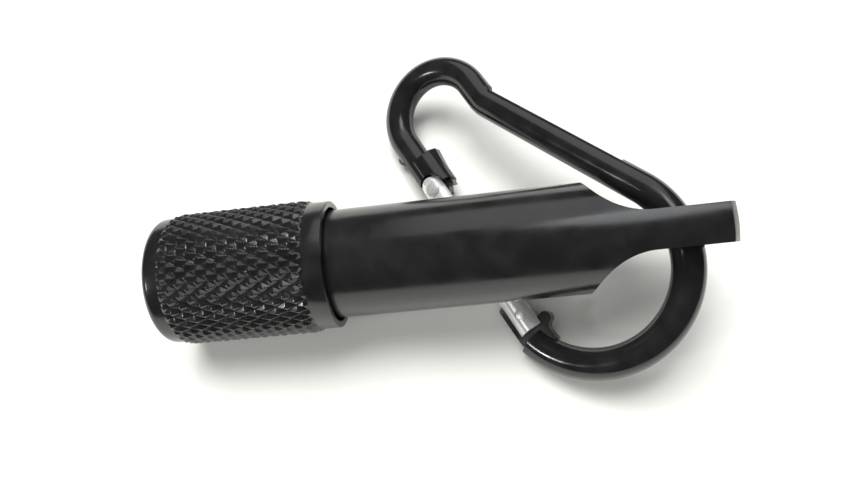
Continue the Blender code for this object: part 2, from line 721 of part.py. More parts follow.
swing = empty("ring_swing", location=front + turn @ Vector((0, 0, HOLE_AT)), rotation=ring_turn(hole_height))
plane = empty("ring_plane", swing, location=-hold_point())
hinge = empty("gate_hinge", plane, location=(PIVOT_X, 0, 0))
slide = empty("plunger_slide", hinge)
make_frame(plane)
make_rivet(plane)
make_gate(hinge)
make_latch_pin(hinge)
make_plunger(slide)
centre_on_floor((torch, swing))
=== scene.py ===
"""A keychain flashlight hung on a snap ring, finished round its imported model. Metres, +Z up."""

import json
import math

import bmesh
import bpy
from mathutils import Matrix, Vector


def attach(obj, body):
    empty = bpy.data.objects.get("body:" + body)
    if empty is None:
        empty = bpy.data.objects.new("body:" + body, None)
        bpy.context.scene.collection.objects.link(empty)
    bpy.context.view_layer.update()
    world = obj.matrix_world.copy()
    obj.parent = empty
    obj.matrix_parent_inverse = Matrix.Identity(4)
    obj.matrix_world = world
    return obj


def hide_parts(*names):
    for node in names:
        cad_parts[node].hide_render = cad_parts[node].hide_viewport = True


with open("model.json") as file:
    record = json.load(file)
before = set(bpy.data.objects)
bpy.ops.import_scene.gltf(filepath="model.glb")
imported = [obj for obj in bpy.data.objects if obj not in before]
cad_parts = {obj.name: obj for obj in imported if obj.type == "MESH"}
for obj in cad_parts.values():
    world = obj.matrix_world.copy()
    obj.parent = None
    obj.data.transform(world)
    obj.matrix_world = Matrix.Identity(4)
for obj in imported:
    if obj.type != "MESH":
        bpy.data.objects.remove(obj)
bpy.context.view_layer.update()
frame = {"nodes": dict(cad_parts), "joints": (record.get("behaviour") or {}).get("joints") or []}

MM = 0.001


# ---------------------------------------------------------------- Barrel
# One aluminium bar, turned and bored for the cells, then milled flat on both sides of its
# tail and cross-drilled for the ring. The screw neck is plain where the head's thread runs.
# All of it is dyed gloss black, and the last edge of the tail is cut through to bare metal.

TORCH_LENGTH = 63.5 * MM
BODY_R = 6.25 * MM
NECK_R = 5.5 * MM
NECK_START = 12.0 * MM
SHOULDER = 18.0 * MM
SEAL_AT = 16.6 * MM
SEAL_FLOOR_R = NECK_R - 0.45 * MM
SEAL_GROOVE_HALF = 0.5 * MM
CHAMBER_R = 4.55 * MM
CHAMBER_END = 34.3 * MM
DRILL_POINT = 0.6 * MM
TONGUE_T = 4.2 * MM
MILL_R = 7.3 * MM
MILL_REACH = 8.0 * MM
FLAT_START = 55.2 * MM
MILLED_FROM = SHOULDER + 5.0 * MM
TAIL_CHAMFER = 0.7 * MM
HOLE_AT = 59.0 * MM
HOLE_R = 3.5 * MM
ANODISED_BLACK = (0.009, 0.009, 0.0095, 1)
ANODISED_GREY = (0.014, 0.014, 0.015, 1)
CUT_METAL = (0.36, 0.37, 0.35, 1)

joints = {joint["name"]: joint for joint in frame["joints"]}
torch_z = Vector(joints["head_twist"]["axis"])
torch_y = -Vector(joints["ring_swing"]["axis"])
torch_x = torch_y.cross(torch_z)
torch = Matrix((torch_x, torch_y, torch_z)).transposed().to_4x4()
torch.translation = Vector(joints["head_twist"]["pos_m"])


def arc(centre, radius, start, end, steps):
    """Points round a centre, from one angle in degrees to another."""
    points = []
    for i in range(steps + 1):
        angle = math.radians(start + (end - start) * i / steps)
        points.append((centre[0] + radius * math.cos(angle), centre[1] + radius * math.sin(angle)))
    return points


def eased(outline, radius, closed=True, steps=3):
    """The outline with each of its sharp corners turned to a small round."""
    points = []
    count = len(outline)
    for i, corner in enumerate(outline):
        here = Vector(corner)
        before, after = Vector(outline[i - 1]) - here, Vector(outline[(i + 1) % count]) - here
        end = not closed and i in (0, count - 1)
        angle = 0 if end else before.angle(after, 0)
        if end or angle > math.radians(155) or angle < math.radians(20):
            points.append(corner)
            continue
        cut = min(radius / math.tan(angle / 2), 0.4 * before.length, 0.4 * after.length)
        first, last = here + before.normalized() * cut, here + after.normalized() * cut
        for k in range(steps + 1):
            t = k / steps
            points.append(tuple(first * (1 - t) ** 2 + here * 2 * t * (1 - t) + last * t ** 2))
    return points


def turned_mesh(name, outline, steps=160):
    """A lathe profile of (radius, height) swept round Z; it may start and end on the axis."""
    closed = outline[0][0] > 0
    bm = bmesh.new()
    verts = [bm.verts.new((radius, 0, height)) for radius, height in outline]
    edges = [bm.edges.new(pair) for pair in zip(verts, verts[1:])]
    if closed:
        edges.append(bm.edges.new((verts[-1], verts[0])))
    bmesh.ops.spin(bm, geom=verts + edges, axis=(0, 0, 1), cent=(0, 0, 0), steps=steps,
                   angle=2 * math.pi, use_merge=True)
    bmesh.ops.remove_doubles(bm, verts=bm.verts, dist=0.0005 * MM)
    bmesh.ops.recalc_face_normals(bm, faces=bm.faces)
    mesh = bpy.data.meshes.new(name)
    bm.to_mesh(mesh)
    bm.free()
    return mesh


def curve_mesh(data):
    """A curve's solid as a welded mesh."""
    guide = bpy.data.objects.new(data.name, data)
    bpy.context.scene.collection.objects.link(guide)
    mesh = bpy.data.meshes.new_from_object(guide.evaluated_get(bpy.context.evaluated_depsgraph_get()))
    bpy.data.objects.remove(guide)
    bm = bmesh.new()
    bm.from_mesh(mesh)
    bmesh.ops.remove_doubles(bm, verts=bm.verts, dist=0.0002 * MM)
    bmesh.ops.recalc_face_normals(bm, faces=bm.faces)
    bm.to_mesh(mesh)
    bm.free()
    return mesh


def plate_mesh(name, outline, low, high):
    """A flat outline of (x, y), solid from z low to z high."""
    data = bpy.data.curves.new(name, "CURVE")
    data.dimensions = "2D"
    data.fill_mode = "BOTH"
    data.extrude = (high - low) / 2
    spline = data.splines.new("POLY")
    spline.points.add(len(outline) - 1)
    for point, (x, y) in zip(spline.points, outline):
        point.co = (x, y, 0, 1)
    spline.use_cyclic_u = True
    mesh = curve_mesh(data)
    mesh.transform(Matrix.Translation((0, 0, (low + high) / 2)))
    return mesh


def bar_mesh(name, radius, low, high, sides=48):
    """A plain round bar along Z."""
    bm = bmesh.new()
    bmesh.ops.create_cone(bm, cap_ends=True, segments=sides, radius1=radius, radius2=radius,
                          depth=high - low, matrix=Matrix.Translation((0, 0, (low + high) / 2)))
    mesh = bpy.data.meshes.new(name)
    bm.to_mesh(mesh)
    bm.free()
    return mesh


def carve(mesh, tool, operation="DIFFERENCE"):
    """The mesh with the tool's shape cut away, joined on or kept in common."""
    blank = bpy.data.objects.new("blank", mesh)
    cutter = bpy.data.objects.new("cutter", tool)
    for obj in (blank, cutter):
        bpy.context.scene.collection.objects.link(obj)
    step = blank.modifiers.new("cut", "BOOLEAN")
    step.operation = operation
    step.solver = "EXACT"
    step.object = cutter
    step.material_mode = "TRANSFER"
    graph = bpy.context.evaluated_depsgraph_get()
    result = bpy.data.meshes.new_from_object(blank.evaluated_get(graph))
    result.name = mesh.name
    for obj in (blank, cutter):
        bpy.data.objects.remove(obj)
    return result


def piece(name, mesh, place, body, node, finish, sharp=32):
    """One finished piece standing for its CAD node: placed, shaded, painted and fixed to its body."""
    obj = bpy.data.objects.new(name, mesh)
    bpy.context.scene.collection.objects.link(obj)
    obj.matrix_world = place
    for face in mesh.polygons:
        face.use_smooth = True
    mesh.set_sharp_from_angle(angle=math.radians(sharp))
    if finish is not None:
        mesh.materials.clear()
        mesh.materials.append(finish)
    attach(obj, body)
    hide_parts(node)
    return obj


def new_finish(name, colour, metallic, roughness):
    """A fresh material and its shader, with its plain values on the shader's own sockets."""
    finish = bpy.data.materials.new(name)
    finish.use_nodes = True
    shader = finish.node_tree.nodes["Principled BSDF"]
    shader.inputs["Base Color"].default_value = colour
    shader.inputs["Metallic"].default_value = metallic
    shader.inputs["Roughness"].default_value = roughness
    return finish, shader


def grain(finish, scale, stretch=(1, 1, 1), detail=4):
    """A noise in the piece's own axes, for a finish's grain."""
    tree = finish.node_tree
    place = tree.nodes.new("ShaderNodeTexCoord")
    stretched = tree.nodes.new("ShaderNodeMapping")
    stretched.inputs["Scale"].default_value = stretch
    noise = tree.nodes.new("ShaderNodeTexNoise")
    noise.inputs["Scale"].default_value = scale
    noise.inputs["Detail"].default_value = detail
    tree.links.new(place.outputs["Object"], stretched.inputs["Vector"])
    tree.links.new(stretched.outputs["Vector"], noise.inputs["Vector"])
    return noise.outputs["Fac"]


def spread(finish, source, low, high):
    """The source's middle range stretched to run from low to high."""
    ramp = finish.node_tree.nodes.new("ShaderNodeMapRange")
    ramp.inputs["From Min"].default_value = 0.3
    ramp.inputs["From Max"].default_value = 0.7
    ramp.inputs["To Min"].default_value = low
    ramp.inputs["To Max"].default_value = high
    finish.node_tree.links.new(source, ramp.inputs["Value"])
    return ramp.outputs["Result"]


def tint(finish, source, first, second):
    """A colour that drifts between two with the source."""
    ramp = finish.node_tree.nodes.new("ShaderNodeValToRGB")
    ramp.color_ramp.elements[0].position = 0.35
    ramp.color_ramp.elements[0].color = first
    ramp.color_ramp.elements[1].position = 0.65
    ramp.color_ramp.elements[1].color = second
    finish.node_tree.links.new(source, ramp.inputs["Fac"])
    return ramp.outputs["Color"]


def relief(finish, shader, source, depth, strength=1.0):
    """Fine relief of that depth in metres."""
    bump = finish.node_tree.nodes.new("ShaderNodeBump")
    bump.inputs["Strength"].default_value = strength
    bump.inputs["Distance"].default_value = depth
    finish.node_tree.links.new(source, bump.inputs["Height"])
    finish.node_tree.links.new(bump.outputs["Normal"], shader.inputs["Normal"])


def black_anodising(name, gloss=0.2, lay=(1, 1, 1), marks=0.003 * MM):
    """Dyed anodising: a hard clear oxide over dark grey, with faint tool marks along its lay."""
    finish, shader = new_finish(name, ANODISED_BLACK, 0.0, gloss)
    shader.inputs["IOR"].default_value = 1.62
    cloud = grain(finish, 380, detail=5)
    tree = finish.node_tree
    tree.links.new(tint(finish, cloud, ANODISED_BLACK, ANODISED_GREY), shader.inputs["Base Color"])
    tree.links.new(spread(finish, cloud, gloss - 0.04, gloss + 0.06), shader.inputs["Roughness"])
    relief(finish, shader, grain(finish, 2600, stretch=lay, detail=6), marks)
    return finish


def cut_metal(name, colour, roughness, lay=(1, 1, 1)):
    """Bare cut aluminium with the tool's fine lines."""
    finish, shader = new_finish(name, colour, 1.0, roughness)
    lines = grain(finish, 3000, stretch=lay, detail=6)
    tree = finish.node_tree
    tree.links.new(spread(finish, lines, roughness - 0.06, roughness + 0.1), shader.inputs["Roughness"])
    relief(finish, shader, lines, 0.002 * MM)
    return finish


def mill_tool(side):
    """What the end mill clears on one side of the tail, leaving half the tongue's thickness."""
    half, outside, beyond = TONGUE_T / 2, BODY_R + 2 * MM, TORCH_LENGTH + 2 * MM
    sweep = math.degrees(math.acos(1 - (outside - half) / MILL_R))
    cheek = arc((half + MILL_R, FLAT_START), MILL_R, 180, 180 + sweep, 48)
    outline = [(half, beyond), *cheek, (outside, cheek[-1][1]), (outside, beyond)]
    plan = [(side * across, along) for across, along in outline]
    tool = plate_mesh("mill", plan, -MILL_REACH, MILL_REACH)
    tool.transform(Matrix(((0, 0, 1, 0), (1, 0, 0, 0), (0, 1, 0, 0), (0, 0, 0, 1))))
    return tool


turned_black = black_anodising("turned_black_anodising", lay=(0.02, 0.02, 1))
milled_black = black_anodising("milled_black_anodising", gloss=0.3, lay=(1, 0.05, 0.2), marks=0.004 * MM)
tail_edge = cut_metal("tail_edge", CUT_METAL, 0.42)

barrel_profile = eased([
    (0, CHAMBER_END + DRILL_POINT),
    (CHAMBER_R, CHAMBER_END),
    (CHAMBER_R, NECK_START),
    (NECK_R, NECK_START),
    (NECK_R, SEAL_AT - SEAL_GROOVE_HALF),
    (SEAL_FLOOR_R, SEAL_AT - SEAL_GROOVE_HALF),
    (SEAL_FLOOR_R, SEAL_AT + SEAL_GROOVE_HALF),
    (NECK_R, SEAL_AT + SEAL_GROOVE_HALF),
    (NECK_R, SHOULDER),
    (BODY_R, SHOULDER),
    (BODY_R, TORCH_LENGTH - TAIL_CHAMFER),
    (BODY_R - TAIL_CHAMFER, TORCH_LENGTH),
    (0, TORCH_LENGTH),
], 0.12 * MM, closed=False)
barrel_mesh = turned_mesh("torch_barrel", barrel_profile, steps=192)
for side in (1, -1):
    barrel_mesh = carve(barrel_mesh, mill_tool(side))
ring_drill = bar_mesh("ring_drill", HOLE_R, -BODY_R, BODY_R, 96)
ring_drill.transform(Matrix.Translation((0, 0, HOLE_AT)) @ Matrix.Rotation(math.pi / 2, 4, "X"))
barrel_mesh = carve(barrel_mesh, ring_drill)
piece("torch_barrel", barrel_mesh, torch, "barrel", "barrel", turned_black)
barrel_mesh.materials.append(milled_black)
barrel_mesh.materials.append(tail_edge)
for face in barrel_mesh.polygons:
    middle = face.center
    off_axis = math.hypot(middle.x, middle.y)
    if middle.z > TORCH_LENGTH - TAIL_CHAMFER - 0.05 * MM:
        face.material_index = 2
    elif middle.z > MILLED_FROM and off_axis < BODY_R - 0.1 * MM:
        face.material_index = 1


# ---------------------------------------------------------------- Seal, cells and tail spring
# A rubber ring sits in the neck's groove. Behind it a thin white tube holds four nickel-plated
# button cells in a row, and a wide conical spring presses them forward from the chamber's end.

NICKEL = (0.62, 0.61, 0.58, 1)


def rubber(name):
    """Moulded black rubber, dull and slightly uneven."""
    finish, shader = new_finish(name, (0.015, 0.015, 0.016, 1), 0.0, 0.62)
    skin = grain(finish, 1500, detail=5)
    finish.node_tree.links.new(spread(finish, skin, 0.52, 0.72), shader.inputs["Roughness"])
    relief(finish, shader, skin, 0.01 * MM)
    return finish


def moulded_plastic(name, colour, shade, roughness=0.42):
    """Injection-moulded plastic with a fine spark-eroded skin."""
    finish, shader = new_finish(name, colour, 0.0, roughness)
    skin = grain(finish, 900, detail=5)
    tree = finish.node_tree
    tree.links.new(tint(finish, skin, colour, shade), shader.inputs["Base Color"])
    tree.links.new(spread(finish, skin, roughness - 0.06, roughness + 0.08), shader.inputs["Roughness"])
    relief(finish, shader, skin, 0.006 * MM)
    return finish


def plated_steel(name, roughness=0.24):
    """Nickel plate over drawn steel, with fine drawing lines."""
    finish, shader = new_finish(name, NICKEL, 1.0, roughness)
    lines = grain(finish, 2200, stretch=(1, 1, 0.1), detail=6)
    finish.node_tree.links.new(spread(finish, lines, roughness - 0.08, roughness + 0.12),
                               shader.inputs["Roughness"])
    relief(finish, shader, lines, 0.0015 * MM)
    return finish


def repaint(finish, *nodes):
    """A CAD node kept as it is, in a better finish."""
    for node in nodes:
        for place in frame["nodes"][node].material_slots:
            place.material = finish


black_rubber = rubber("black_rubber_skin")
white_plastic = moulded_plastic("white_moulded_plastic", (0.8, 0.8, 0.76, 1), (0.74, 0.74, 0.7, 1))
nickel_plate = plated_steel("nickel_plated_steel")
repaint(black_rubber, "neck_seal")
repaint(white_plastic, "cell_tube")
repaint(nickel_plate, "cell_1", "cell_2", "cell_3", "cell_4", "tail_spring")


# ---------------------------------------------------------------- Reflector
# A moulded bowl with a vacuum-coated mirror inside, held between the lens and the lamp's
# holder. The lamp's dome stands in its throat.

LENS_AT = 1.8 * MM
LENS_T = 1.0 * MM
REFLECTOR_FRONT = LENS_AT + LENS_T + 0.12 * MM
REFLECTOR_BACK = 7.3 * MM
LAMP_R = 6.05 * MM
THROAT_R = 2.85 * MM
MOUTH_R = 5.5 * MM
BOWL_FLANGE = 0.6 * MM
BOWL_OPENING = 1.25


def bowl(steps):
    """The mirror's curve, steep at the throat and open at the mouth."""
    points = []
    for i in range(steps + 1):
        t = i / steps
        radius = THROAT_R + (MOUTH_R - THROAT_R) * t
        points.append((radius, REFLECTOR_BACK + (REFLECTOR_FRONT - REFLECTOR_BACK) * t ** BOWL_OPENING))
    return points


mirror, mirror_shader = new_finish("mirror_coat", (0.88, 0.88, 0.89, 1), 1.0, 0.07)
mirror.node_tree.links.new(spread(mirror, grain(mirror, 500), 0.05, 0.12),
                           mirror_shader.inputs["Roughness"])
reflector_profile = [
    *bowl(16),
    (LAMP_R, REFLECTOR_FRONT),
    (LAMP_R, REFLECTOR_FRONT + BOWL_FLANGE),
    (5.75 * MM, REFLECTOR_FRONT + BOWL_FLANGE),
    (5.0 * MM, 5.1 * MM),
    (4.1 * MM, 6.6 * MM),
    (3.5 * MM, REFLECTOR_BACK),
]
piece("lamp_reflector", turned_mesh("lamp_reflector", reflector_profile, 96), torch, "lamp",
      "reflector", mirror)


# ---------------------------------------------------------------- Lamp
# A 5 mm lamp: a clear epoxy bullet with a rim at its foot. A small mirror cup stands inside it
# on one lead, with a chip under yellow phosphor.

BULLET_R = 2.5 * MM
BULLET_TIP = 4.4 * MM
BULLET_FOOT = 11.4 * MM
FOOT_START = 10.5 * MM
FOOT_R = 2.9 * MM
CUP_AT = 7.4 * MM


def clear_moulding(name, roughness, ior):
    """Clear moulded plastic with the faint ripple of its mould."""
    finish, shader = new_finish(name, (0.97, 0.98, 0.98, 1), 0.0, roughness)
    shader.inputs["Transmission Weight"].default_value = 1.0
    shader.inputs["IOR"].default_value = ior
    relief(finish, shader, grain(finish, 260, detail=2), 0.002 * MM)
    return finish


phosphor, phosphor_shader = new_finish("yellow_phosphor", (0.75, 0.62, 0.06, 1), 0.0, 0.6)
phosphor_speckle = tint(phosphor, grain(phosphor, 3000), (0.72, 0.55, 0.04, 1), (0.85, 0.72, 0.12, 1))
phosphor.node_tree.links.new(phosphor_speckle, phosphor_shader.inputs["Base Color"])
bullet_mesh = turned_mesh("lamp_bullet", [
    (0, BULLET_TIP),
    *arc((0, BULLET_TIP + BULLET_R), BULLET_R, -82, 0, 12),
    (BULLET_R, FOOT_START),
    (FOOT_R, FOOT_START),
    (FOOT_R, BULLET_FOOT),
    (0, BULLET_FOOT),
], 64)
cup_mesh = turned_mesh("lamp_cup", [
    (0, CUP_AT + 0.35 * MM), (0.3 * MM, CUP_AT + 0.35 * MM), (0.62 * MM, CUP_AT), (0.75 * MM, CUP_AT),
    (0.7 * MM, CUP_AT + 0.9 * MM), (0.25 * MM, CUP_AT + 1.2 * MM), (0.25 * MM, BULLET_FOOT - 0.2 * MM),
    (0, BULLET_FOOT - 0.2 * MM),
], 32)
chip_mesh = turned_mesh("lamp_chip", [
    (0, CUP_AT + 0.06 * MM), (0.35 * MM, CUP_AT + 0.12 * MM), (0.42 * MM, CUP_AT + 0.3 * MM),
    (0, CUP_AT + 0.3 * MM),
], 24)
clear_epoxy = clear_moulding("clear_epoxy", 0.04, 1.5)
bullet = bmesh.new()
for mesh in (bullet_mesh, cup_mesh, chip_mesh):
    bullet.from_mesh(mesh)
bullet.to_mesh(bullet_mesh)
bullet.free()
piece("lamp_bullet", bullet_mesh, torch, "lamp", "led", clear_epoxy)
bullet_mesh.materials.append(nickel_plate)
bullet_mesh.materials.append(phosphor)
for face in bullet_mesh.polygons:
    middle = face.center
    if math.hypot(middle.x, middle.y) < 0.78 * MM and CUP_AT < middle.z < BULLET_FOOT - 0.1 * MM:
        face.material_index = 1
        if middle.z < CUP_AT + 0.31 * MM and math.hypot(middle.x, middle.y) < 0.4 * MM:
            face.material_index = 2


# ---------------------------------------------------------------- Lamp holder and contact board
# The lamp's foot drops in a white moulded holder. Its two leads are soldered to a small round
# board, which carries a resistor on one side and the spring that meets the first cell on the other.

board_green = moulded_plastic("solder_mask_green", (0.02, 0.16, 0.06, 1), (0.03, 0.2, 0.08, 1), 0.3)
chip_black = moulded_plastic("dark_ceramic", (0.02, 0.02, 0.022, 1), (0.035, 0.035, 0.037, 1), 0.45)
repaint(white_plastic, "led_holder")
repaint(board_green, "contact_board")
repaint(chip_black, "resistor")
repaint(nickel_plate, "led_lead_plus", "led_lead_minus", "contact_spring")


# ---------------------------------------------------------------- Head
# The head is a turned aluminium sleeve that screws over the barrel's neck. Its middle is rolled
# with a diamond knurl between a plain front rim and a plain collar, and then all of it is dyed
# black like the barrel.

RIM_R = 7.3 * MM
RIM_L = 2.0 * MM
RIM_ROUND = 0.9 * MM
KNURL_R = 7.7 * MM
KNURL_END = 18.1 * MM
KNURL_DEPTH = 0.36 * MM
KNURL_RAMP = 0.35 * MM
KNURL_SEAT_R = KNURL_R - KNURL_DEPTH - 0.1 * MM
KNURL_AROUND = 36
KNURL_ALONG = 7
KNURL_GRID = 8
COLLAR_R = 7.33 * MM
COLLAR_END = 20.3 * MM
COLLAR_BORE_R = 6.6 * MM
APERTURE_R = 5.5 * MM
LIP_T = 1.0 * MM
POCKET_R = 6.3 * MM
POCKET_END = 11.5 * MM
THREAD_BORE_R = NECK_R + 0.12 * MM
SEAL_BORE_R = NECK_R + 0.35 * MM
COUNTERBORE = SHOULDER - 0.7 * MM


def knurl_height(u, v):
    """Height of the diamonds, 0 in the grooves and 1 on a crest, with softened crests."""
    fall = min(1 - abs(2 * (u % 1) - 1), 1 - abs(2 * (v % 1) - 1))
    return min(fall * 1.12, 0.86 + 0.14 * fall)


def knurl_mesh():
    """A band of raised diamonds, its lattice wound both ways round the sleeve."""
    rows = 2 * KNURL_GRID * KNURL_ALONG
    columns = 2 * KNURL_GRID * KNURL_AROUND
    length = KNURL_END - RIM_L
    core = KNURL_R - KNURL_DEPTH - 0.3 * MM
    bm = bmesh.new()
    skin = {}
    for row in range(rows + 1):
        height = RIM_L + length * row / rows
        ramp = min(1, min(height - RIM_L, KNURL_END - height) / KNURL_RAMP)
        for column in range(row % 2, columns, 2):
            u = (column + row) / (2 * KNURL_GRID)
            v = (column - row) / (2 * KNURL_GRID)
            crest = knurl_height(u, v) * (0.25 + 0.75 * ramp) - 0.15 * (1 - ramp)
            radius = KNURL_R - KNURL_DEPTH * (1 - crest)
            turn = 2 * math.pi * column / columns
            skin[row, column] = bm.verts.new((radius * math.cos(turn), radius * math.sin(turn), height))
    for row in range(rows + 1):
        for column in range((row + 1) % 2, columns, 2):
            left, right = (row, (column - 1) % columns), (row, (column + 1) % columns)
            below, above = (row - 1, column), (row + 1, column)
            corners = [skin[key] for key in (left, below, right, above) if key in skin]
            bm.faces.new(corners)
    for row in (0, rows):
        height = RIM_L + length * row / rows
        ring = range(row % 2, columns, 2)
        for column in ring:
            turn = 2 * math.pi * column / columns
            place = (core * math.cos(turn), core * math.sin(turn), height)
            skin["core", row, column] = bm.verts.new(place)
        for column in ring:
            after = (column + 2) % columns
            bm.faces.new([skin[row, column], skin[row, after],
                          skin["core", row, after], skin["core", row, column]])
    for column in range(0, columns, 2):
        after = (column + 2) % columns
        bm.faces.new([skin["core", 0, column], skin["core", 0, after],
                      skin["core", rows, after], skin["core", rows, column]])
    bmesh.ops.recalc_face_normals(bm, faces=bm.faces)
    mesh = bpy.data.meshes.new("knurl")
    bm.to_mesh(mesh)
    bm.free()
    return mesh


sleeve_profile = eased([
    (APERTURE_R, 0),
    (RIM_R - RIM_ROUND, 0),
    *arc((RIM_R - RIM_ROUND, RIM_ROUND), RIM_ROUND, -80, 0, 8),
    (RIM_R, RIM_L),
    (KNURL_SEAT_R, RIM_L),
    (KNURL_SEAT_R, KNURL_END),
    (COLLAR_R, KNURL_END),
    (COLLAR_R, COLLAR_END),
    (COLLAR_BORE_R, COLLAR_END),
    (COLLAR_BORE_R, COUNTERBORE),
    (SEAL_BORE_R, COUNTERBORE),
    (SEAL_BORE_R, SEAL_AT - 1.1 * MM),
    (THREAD_BORE_R, SEAL_AT - 1.3 * MM),
    (THREAD_BORE_R, POCKET_END),
    (POCKET_R, POCKET_END),
    (POCKET_R, LIP_T),
    (APERTURE_R, LIP_T),
], 0.15 * MM)
sleeve_mesh = turned_mesh("torch_head", sleeve_profile, steps=192)
knurled = black_anodising("knurled_black_anodising", gloss=0.22, marks=0.004 * MM)
head_mesh = bmesh.new()
head_mesh.from_mesh(sleeve_mesh)
plain_faces = len(head_mesh.faces)
head_mesh.from_mesh(knurl_mesh())
head_mesh.to_mesh(sleeve_mesh)
head_mesh.free()
piece("torch_head", sleeve_mesh, torch, "head", "head_sleeve", turned_black,
      sharp=28)
sleeve_mesh.materials.append(knurled)
for face in sleeve_mesh.polygons:
    if face.index >= plain_faces:
        face.material_index = 1


# ---------------------------------------------------------------- Front lens and its seal
# A clear acrylic disc sits behind the head's front lip on a thin rubber ring.

LENS_R = 6.05 * MM

clear_acrylic = clear_moulding("clear_acrylic", 0.02, 1.49)
lens_profile = eased([
    (0, LENS_AT), (LENS_R, LENS_AT), (LENS_R, LENS_AT + LENS_T), (0, LENS_AT + LENS_T),
], 0.12 * MM, closed=False)
piece("torch_lens", turned_mesh("torch_lens", lens_profile, 96), torch, "head",
      "front_lens", clear_acrylic)
repaint(black_rubber, "lens_seal")


# ---------------------------------------------------------------- Snap ring frame
# One aluminium rod, bent to a pear shape and dyed black. Its outside is milled flat along the
# spine from a small step, and both ends are milled to a thin plate: one carries the gate's
# rivet, and the other has the lip and the notch that the closed gate rests in.

ROD_R = 1.875 * MM
SMALL_BEND_R = 6.0 * MM
SMALL_BEND = (-9.1 * MM, SMALL_BEND_R)
KNEE_X = -5.8 * MM
KNEE_FILLET = 3.0 * MM
BIG_BEND = (19.8 * MM, 9.8 * MM)
BIG_BEND_R = 11.0 * MM
NOSE_X = 22.6 * MM
SPINE_FLAT = 1.6 * MM
SPINE_STEP_X = -6.8 * MM
BUMP_R = 0.78 * MM
PIVOT_X = -0.7 * MM
PIVOT_HOLE_R = 0.66 * MM
BUMP_X = -7.65 * MM
KNUCKLE_R = 2.1 * MM
KNUCKLE_Y = 0.85 * MM
KNUCKLE_START = PIVOT_X - 4.6 * MM
OUTER_FLAT_Y = -1.3 * MM
PRONG_START = (PIVOT_X - 4.7 * MM, 3.2 * MM)
PRONG_END = (PIVOT_X + 0.9 * MM, 2.55 * MM)
PLATE_T = 1.3 * MM
ARCH_R = 1.95 * MM
CAM_R = 1.5 * MM
CAM_RISE = 0.3 * MM
PAST_ROD = 4.0 * MM

ring_x = Vector(joints["plunger_push"]["axis"])
ring_z = Vector(joints["gate_open"]["axis"])
ring_y = ring_z.cross(ring_x)
gate_place = Matrix((ring_x, ring_y, ring_z)).transposed().to_4x4()
gate_place.translation = Vector(joints["gate_open"]["pos_m"])
ring = gate_place @ Matrix.Translation((-PIVOT_X, 0, 0))


def ring_line():
    """The rod's middle line from the gate's hinge round to the nose, and the spine's slope."""
    knee = Vector((KNEE_X, 2 * SMALL_BEND_R))
    centre = Vector(BIG_BEND)
    reach = (centre - knee).length
    slope = math.atan2(centre.y - knee.y, centre.x - knee.x) + math.asin(BIG_BEND_R / reach)
    cut = KNEE_FILLET * math.tan(slope / 2)
    points = [(PIVOT_X - 0.4 * MM, 0.0), (-4.5 * MM, 0.0)]
    points += arc(SMALL_BEND, SMALL_BEND_R, 270, 90, 64)
    points += arc((knee.x - cut, knee.y + KNEE_FILLET), KNEE_FILLET, 270, 270 + math.degrees(slope), 10)
    end = -math.degrees(math.acos((NOSE_X - BIG_BEND[0]) / BIG_BEND_R))
    points += arc(BIG_BEND, BIG_BEND_R, 90 + math.degrees(slope), end, 110)
    return points, slope


def rod_mesh(name, points, radius, resolution):
    """A round bar along the points, with closed ends."""
    data = bpy.data.curves.new(name, "CURVE")
    data.dimensions = "3D"
    data.bevel_depth = radius
    data.bevel_resolution = resolution
    data.use_fill_caps = True
    spline = data.splines.new("POLY")
    spline.points.add(len(points) - 1)
    for point, place in zip(spline.points, points):
        point.co = (*place, 1)
    return curve_mesh(data)


def hinge_plate_outline():
    """The hinge's flat plate, with the round end that the gate turns on."""
    cam = arc((PIVOT_X, 0), CAM_R, -60, 0, 10)
    for i in range(1, 15):
        angle = 74 * i / 14
        cam += arc((PIVOT_X, 0), CAM_R + CAM_RISE * min(angle / 28, 1.6), angle, angle, 1)[:1]
    outside, back = OUTER_FLAT_Y + 0.05 * MM, PRONG_START[0] - 0.5 * MM
    return [(back, PRONG_START[1] - 1.0 * MM), (back, outside), (PIVOT_X - ROD_R, outside), *cam,
            PRONG_END, PRONG_START]


def nose_plate_outline():
    """The nose's flat plate: the outer lip, the notch for the gate's pin and the inner knob."""
    x = NOSE_X
    knob = arc((x - 1.3 * MM, 2.15 * MM), BUMP_R, 10, 215, 14)
    lip = arc((x - 4.9 * MM, -1.65 * MM), 0.55 * MM, 90, 270, 10)
    return [(x + 1.6 * MM, 2.0 * MM), (x - 0.1 * MM, 1.9 * MM), *knob, (x - 2.1 * MM, 0.4 * MM),
            (x - 2.4 * MM, -0.6 * MM), (x - 3.0 * MM, -1.1 * MM), *lip, (x - 0.2 * MM, -2.1 * MM),
            (x + 1.0 * MM, -1.5 * MM)]


def ball_mesh(name, radius, place):
    """A small ball at a place."""
    bm = bmesh.new()
    bmesh.ops.create_uvsphere(bm, u_segments=32, v_segments=20, radius=radius,
                              matrix=Matrix.Translation(place))
    mesh = bpy.data.meshes.new(name)
    bm.to_mesh(mesh)
    bm.free()
    return mesh


